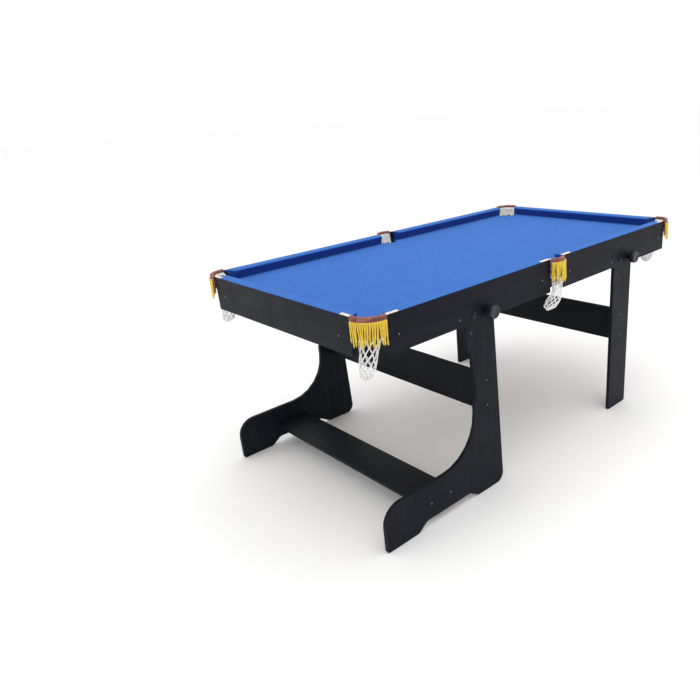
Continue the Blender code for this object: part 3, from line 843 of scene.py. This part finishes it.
def build_fringe(pocket):
    """Golden threads that hang in uneven bunches under the roll, over the leather's skirt."""
    rng = random.Random(pocket.seed)
    base = pocket.radius + ROLL + 0.0004
    half_arc = pocket.half_arc - 3
    bunch_pitch = 0.0074
    shape = Shape()
    add_heading(shape, pocket, base, half_arc)
    bunches = max(9, round(2 * math.radians(half_arc) * base / bunch_pitch))
    width = 2 * half_arc / bunches
    for b in range(bunches):
        add_bunch(shape, pocket, base, -half_arc + width * (b + 0.5), width, rng)
    piece = make("pocket_fringe_" + pocket.name + "_threads", shape, GOLD, TOP,
                 180)
    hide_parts("pocket_fringe_" + pocket.name)
    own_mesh(piece)


def net_profile(pocket):
    """Levels of the net: offset outwards, swing towards -X, radius, height."""
    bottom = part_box("pocket_net_" + pocket.name)[0][2] + 0.0025
    if pocket.middle:
        return [(0.000, 0.000, 0.0345, 0.806), (0.006, 0.000, 0.0330, 0.785),
                (0.020, 0.002, 0.0275, 0.757), (0.0313, 0.006, 0.0185, 0.735),
                (0.0390, 0.013, 0.0180, 0.700), (0.0395, 0.018, 0.0185, 0.685),
                (0.0395, 0.038, 0.0255, 0.663), (0.0395, 0.061, 0.0225, 0.643),
                (0.0395, 0.072, 0.0050, bottom)]
    neck = 0.728
    bag = neck - bottom
    return [(0.0, 0.000, 0.0380, 0.806), (0.0, 0.000, 0.0380, 0.772), (0.0, 0.008, 0.0350, neck),
            (0.0, 0.016, 0.0280, neck - 0.31 * bag), (0.0, 0.026, 0.0262, neck - 0.64 * bag),
            (0.0, 0.033, 0.0205, neck - 0.89 * bag), (0.0, 0.036, 0.0050, bottom)]


def along_profile(profile, height):
    """Offset, swing and radius of the net at a height, eased between its levels."""
    for upper, lower in zip(profile, profile[1:]):
        if height >= lower[3]:
            share = min(max((upper[3] - height) / (upper[3] - lower[3]), 0.0), 1.0)
            return [upper[i] + (lower[i] - upper[i]) * share for i in range(3)]
    return profile[-1][:3]


def net_point(pocket, profile, height, turn):
    """Place on the net; its rim follows the leather outside and dips under the bed inside."""
    offset, swing, radius = along_profile(profile, height)
    behind_leather = min(max((math.cos(turn) - 0.34) / 0.28, 0.0), 1.0)
    behind_leather *= behind_leather * (3 - 2 * behind_leather)
    rim = max(0.0, (height - 0.750) / (NET_TOP - 0.750))
    reach = pocket.radius - ROLL - 0.0024 - offset
    radius += (max(reach, radius) - radius) * behind_leather * rim
    height -= (1 - behind_leather) * rim * (NET_TOP - 0.756)
    centre = pocket.point(offset, 0, height)
    angle = math.radians(pocket.bearing) + turn
    return Vector((centre.x - swing + radius * math.cos(angle),
                   centre.y + radius * math.sin(angle), height))


NET_COLUMNS = 9
NET_ROWS = [0.0, 0.11, 0.22, 0.33, 0.44, 0.55, 0.65, 0.735, 0.805, 0.862, 0.91, 0.95, 0.98, 1.0]


def build_net(pocket):
    """Knotted net of open diamonds, which grow smaller towards the tied bottom of its bag."""
    rng = random.Random(pocket.seed + 5)
    profile = net_profile(pocket)
    top, bottom = NET_TOP - 0.001, profile[-1][3]
    levels = [top + (bottom - top) * share for share in NET_ROWS]
    cord, knot, tie, rim_cord = 0.00165, 0.0028, 0.0048, 0.0013
    shape = Shape()

    def uneven(most):
        """Random shifts for every knot under the rim."""
        return [[rng.uniform(-most, most) if level else 0.0 for _ in range(NET_COLUMNS)]
                for level in range(len(levels))]
    wander, drop = uneven(0.16), uneven(0.0025)

    def joint(level, column):
        """Turn and height of one knot; columns past the last go on round."""
        shift = 0.5 if level % 2 else 0.0
        wrapped = column % NET_COLUMNS
        turn = 2 * math.pi * (column + shift + wander[level][wrapped]) / NET_COLUMNS
        return turn, levels[level] + drop[level][wrapped]

    for level in range(len(levels) - 1):
        for column in range(NET_COLUMNS):
            turn, height = joint(level, column)
            left = column if level % 2 else column - 1
            for end in (left, left + 1):
                end_turn, end_height = joint(level + 1, end)
                points = [net_point(pocket, profile, height + (end_height - height) * k / 5,
                                    turn + (end_turn - turn) * k / 5) for k in range(6)]
                shape.tube(points, cord, 5)
            if level:
                shape.ball(net_point(pocket, profile, height, turn), knot, 6)
    for row in range(3):
        height = NET_TOP - 0.0015 - 0.0026 * row
        ring = [net_point(pocket, profile, height, 2 * math.pi * k / 60) for k in range(61)]
        shape.tube(ring, rim_cord, 5)
    offset, swing, _ = along_profile(profile, bottom)
    foot = pocket.point(offset, 0, bottom + 0.001)
    shape.ball((foot.x - swing, foot.y, foot.z), tie, 10, 0.9)
    piece = make("pocket_net_" + pocket.name + "_cords", shape, COTTON, TOP, 180)
    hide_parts("pocket_net_" + pocket.name)
    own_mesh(piece)


def build_webbing(pocket):
    """White tape behind the roll, which the net is sewn to."""
    inner, thick = pocket.radius - ROLL - 0.0019, 0.0011
    high, low = RAIL_TOP - 0.0065, CLOTH_TOP - 0.012
    steps = 60
    rings = []
    for k in range(steps + 1):
        angle = (pocket.half_arc - 1) * (2 * k / steps - 1)
        wave = 0.0004 * math.sin(k * 1.9) + 0.0003 * math.sin(k * 0.7 + pocket.seed)
        section = [(inner + wave, low), (inner + thick + wave, low), (inner + thick, high),
                   (inner + 0.0002, high)]
        rings.append([pocket.point(radius, angle, height) for radius, height in section])
    shape = Shape()
    shape.loft(rings)
    make("pocket_webbing_" + pocket.name, shape, WEBBING, TOP, 40)


# ---- fastenings
APRON_SCREW_Z = 0.745
SIDE_SCREW_X = (0.088, 0.797)
END_SCREW_Y = 0.360
STRETCHER_SCREW_Z = (0.352, 0.450)
FOOT_SCREW_X = (-0.702, -0.607)


def middle_of(node):
    low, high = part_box(node)
    return (Vector(low) + Vector(high)) / 2


PIVOT_X = {end: middle_of("pivot_bolt_front_" + end).x for end in ENDS}
LOCK_X = {end: middle_of("lock_knob_front_" + end).x for end in ENDS}
PIVOT_Z = middle_of("pivot_bolt_front_left").z


def build_screws():
    """Dark pan-head screws beside the pockets and in the legs."""
    size = (0.0036, 0.0022)
    apron = Shape()
    for sign in SIDES.values():
        for way in ENDS.values():
            for x in SIDE_SCREW_X:
                place = (way * x, sign * HALF_WIDTH, APRON_SCREW_Z)
                add_screw_head(apron, place, (0, sign, 0), *size)
            place = (way * HALF_LENGTH, sign * END_SCREW_Y, APRON_SCREW_Z)
            add_screw_head(apron, place, (way, 0, 0), *size)
    make("apron_screws", apron, STEEL, TOP, 35)
    foot_z = middle_of("curved_leg_foot_board").z
    for leg in ("curved_leg", "straight_leg"):
        x = middle_of(leg + "_stretcher").x
        spots = [(x, z) for z in STRETCHER_SCREW_Z]
        if leg == "curved_leg":
            spots += [(x, foot_z) for x in FOOT_SCREW_X]
        shape = Shape()
        for sign in SIDES.values():
            for x, z in spots:
                add_screw_head(shape, (x, sign * LEG_FACE, z), (0, sign, 0), *size)
        make(leg + "_screws", shape, STEEL, leg + "_frame", 35)


def add_insert(shape, x, z, sign, face):
    """Steel bush that lines a spare lock hole, flush with the board."""
    bore, rim, proud, deep = 0.0027, 0.0043, 0.0002, 0.0135
    profile = [(bore, -deep), (rim, -deep), (rim, proud - 0.0004), (rim - 0.0003, proud),
               (bore + 0.0003, proud), (bore, proud - 0.0005)]
    shape.turned((x, sign * face, z), (0, sign, 0), profile, 28, closed=True)


def build_inserts():
    """Bushes in the lock holes that the knobs aren't using."""
    pitch = abs(LOCK_X["left"] - PIVOT_X["left"])
    apron, legs = Shape(), {"left": Shape(), "right": Shape()}
    for sign in SIDES.values():
        for end, leg in legs.items():
            spare = 2 * PIVOT_X[end] - LOCK_X[end]
            add_insert(apron, spare, PIVOT_Z, sign, HALF_WIDTH)
            add_insert(leg, PIVOT_X[end], PIVOT_Z - pitch, sign, LEG_FACE)
    make("apron_hole_inserts", apron, DULL_STEEL, TOP, 35)
    for leg, end in (("curved_leg", "left"), ("straight_leg", "right")):
        make(leg + "_hole_inserts", legs[end], DULL_STEEL, leg + "_frame", 35)


def build_blocks():
    """Glue blocks under the bed that take the apron screws."""
    depth, half, drop = 0.016, 0.027, 0.0225
    top = BED_BOTTOM - GAP
    shape = Shape()
    for sign in SIDES.values():
        face = HALF_WIDTH - BOARD - GAP
        for way in ENDS.values():
            for x in SIDE_SCREW_X:
                ends = sorted((sign * (face - depth), sign * face))
                shape.box((way * x - half, ends[0], top - drop), (way * x + half, ends[1], top))
    for way in ENDS.values():
        face = HALF_LENGTH - BOARD - GAP
        for sign in SIDES.values():
            ends = sorted((way * (face - depth), way * face))
            y = sign * END_SCREW_Y
            shape.box((ends[0], y - half, top - drop), (ends[1], y + half, top))
    make("glue_blocks", shape, RAW, TOP, 35, bevel=0.0012)


def hexagon(turn):
    """Reach of a regular hexagon at a turn, as a share of its corners' radius."""
    sector = math.pi / 3
    return math.cos(sector / 2) / math.cos((turn % sector) - sector / 2)


def build_pivots():
    """Button-head bolts with a hexagon socket, a washer outside and a nut behind the leg."""
    nut = LEG_INNER_FACE - HALF_WIDTH
    shank, washer, head = 0.0040, 0.0120, 0.0086
    bolt = [(0.0030, nut - 0.0110), (shank, nut - 0.0100), (shank, nut - GAP), (shank, GAP),
            (washer - 0.0006, GAP), (washer, 0.0007), (washer, 0.0014), (washer - 0.0006, 0.0018),
            (head, 0.0018), (head, 0.0030), (0.0078, 0.0046), (0.0062, 0.0057), (0.0044, 0.0062),
            (0.0034, 0.0062), (0.0033, 0.0036), (0.0004, 0.0033)]
    nut_profile = [(0.0070, nut - 0.0072), (0.0078, nut - 0.0066), (0.0078, nut - 0.0010),
                   (0.0070, nut - GAP)]

    def socket(turn, radius, reach):
        return hexagon(turn) if radius < 0.0035 and reach > 0.003 else 1.0

    for side, sign in SIDES.items():
        for end in ENDS:
            node = "pivot_bolt_" + side + "_" + end
            middle = middle_of(node)
            centre = (middle.x, sign * HALF_WIDTH, middle.z)
            shape = Shape()
            shape.turned(centre, (0, sign, 0), bolt, 48, socket)
            shape.turned(centre, (0, sign, 0), nut_profile, 48, lambda turn, *_: hexagon(turn))
            piece = make(node + "_detail", shape, BOLT_STEEL, TOP, 30)
            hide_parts(node)


def build_locks():
    """Round moulded knobs: ribbed rim with a groove, smooth rolled edge and a dished face."""
    low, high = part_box("lock_knob_rear_left")
    stud, reach = HALF_WIDTH - low[1], high[1] - HALF_WIDTH
    seat, rim = 0.0021, 0.0250
    profile = [(0.0030, -stud), (0.0040, -stud + 0.001), (0.0040, seat), (0.0105, seat),
               (0.0110, 0.0050), (0.0118, 0.0105), (0.0180, 0.0122), (0.0226, 0.0135),
               (0.0243, 0.0150), (0.0249, 0.0170), (rim, 0.0190), (rim, 0.0225),
               (0.0236, 0.0232), (0.0236, 0.0248), (rim, 0.0255), (rim, 0.0300),
               (0.0247, 0.0330), (0.0236, 0.0357), (0.0218, 0.0374), (0.0196, reach),
               (0.0180, 0.0378), (0.0168, 0.0366), (0.0100, 0.0352), (0.0010, 0.0348)]

    def ribs(turn, radius, at):
        if radius > 0.0245 and 0.016 < at < 0.032:
            return 1.0 - 0.028 * (0.5 + 0.5 * math.cos(turn * 30)) ** 2
        return 1.0

    for side, sign in SIDES.items():
        for end in ENDS:
            tag = side + "_" + end
            middle = middle_of("lock_knob_" + tag)
            shape = Shape()
            shape.turned((middle.x, sign * HALF_WIDTH, middle.z), (0, sign, 0), profile, 180, ribs)
            piece = make("lock_knob_" + tag + "_grip", shape, PLASTIC, "lock_knob_" + tag,
                         40)
            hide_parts("lock_knob_" + tag)
            soften("lock_washer_" + tag, [BOLT_STEEL], "lock_washer_" + tag,
                   0.0003, 2)


# ---- stage
def build_stage():
    """Pale floor under a white sky, with a large soft lamp overhead and a smaller fill."""
    bpy.ops.mesh.primitive_plane_add(size=160, location=(0, 0, -0.0005))
    floor = bpy.context.object
    floor.name = "floor"
    look = Finish("pale_floor", roughness=0.9)
    look.shader.inputs["Base Color"].default_value = (0.99, 0.99, 0.99, 1.0)
    floor.data.materials.append(look.material)
    floor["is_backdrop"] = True

    world = bpy.data.worlds.new("studio")
    world.use_nodes = True
    world.node_tree.nodes["Background"].inputs["Color"].default_value = (1.0, 1.0, 1.0, 1.0)
    world.node_tree.nodes["Background"].inputs["Strength"].default_value = 1.0
    bpy.context.scene.world = world
    bpy.context.scene.view_settings.view_transform = "Standard"

    lamps = (("key", (-0.4, -0.5, 3.6), 3.4, 34.0), ("fill", (1.8, 0.8, 3.4), 2.6, 14.0))
    for name, place, size, power in lamps:
        lamp = bpy.data.lights.new(name, "AREA")
        lamp.shape = "DISK"
        lamp.size = size
        lamp.energy = power
        holder = bpy.data.objects.new(name, lamp)
        holder.location = place
        aim = Vector((0, 0, 0.5)) - Vector(place)
        holder.rotation_euler = aim.to_track_quat("-Z", "Y").to_euler()
        bpy.context.scene.collection.objects.link(holder)


def build_camera():
    """The photograph's viewpoint: above the curved-leg end, looking across the table."""
    camera = bpy.data.cameras.new("camera")
    camera.lens = 32.516
    camera.sensor_width = 36.0
    camera.shift_x = -0.12
    holder = bpy.data.objects.new("camera", camera)
    holder.location = (-1.9399, -1.8668, 1.3716)
    holder.rotation_euler = [math.radians(a) for a in (68.894, 3.482, -44.5)]
    bpy.context.scene.collection.objects.link(holder)
    bpy.context.scene.camera = holder


build_camera()
build_stage()
build_boards()
build_bed_cloth()
build_cushions()
for table_pocket in POCKETS:
    build_leather(table_pocket)
    build_stitches(table_pocket)
    build_iron(table_pocket)
    build_fringe(table_pocket)
    build_net(table_pocket)
    build_webbing(table_pocket)
build_screws()
build_inserts()
build_blocks()
build_pivots()
build_locks()

boxes = {"cad": cad_box, "visual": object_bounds()}
{k: [[float(c) for c in corner] for corner in v] for k, v in boxes.items()}
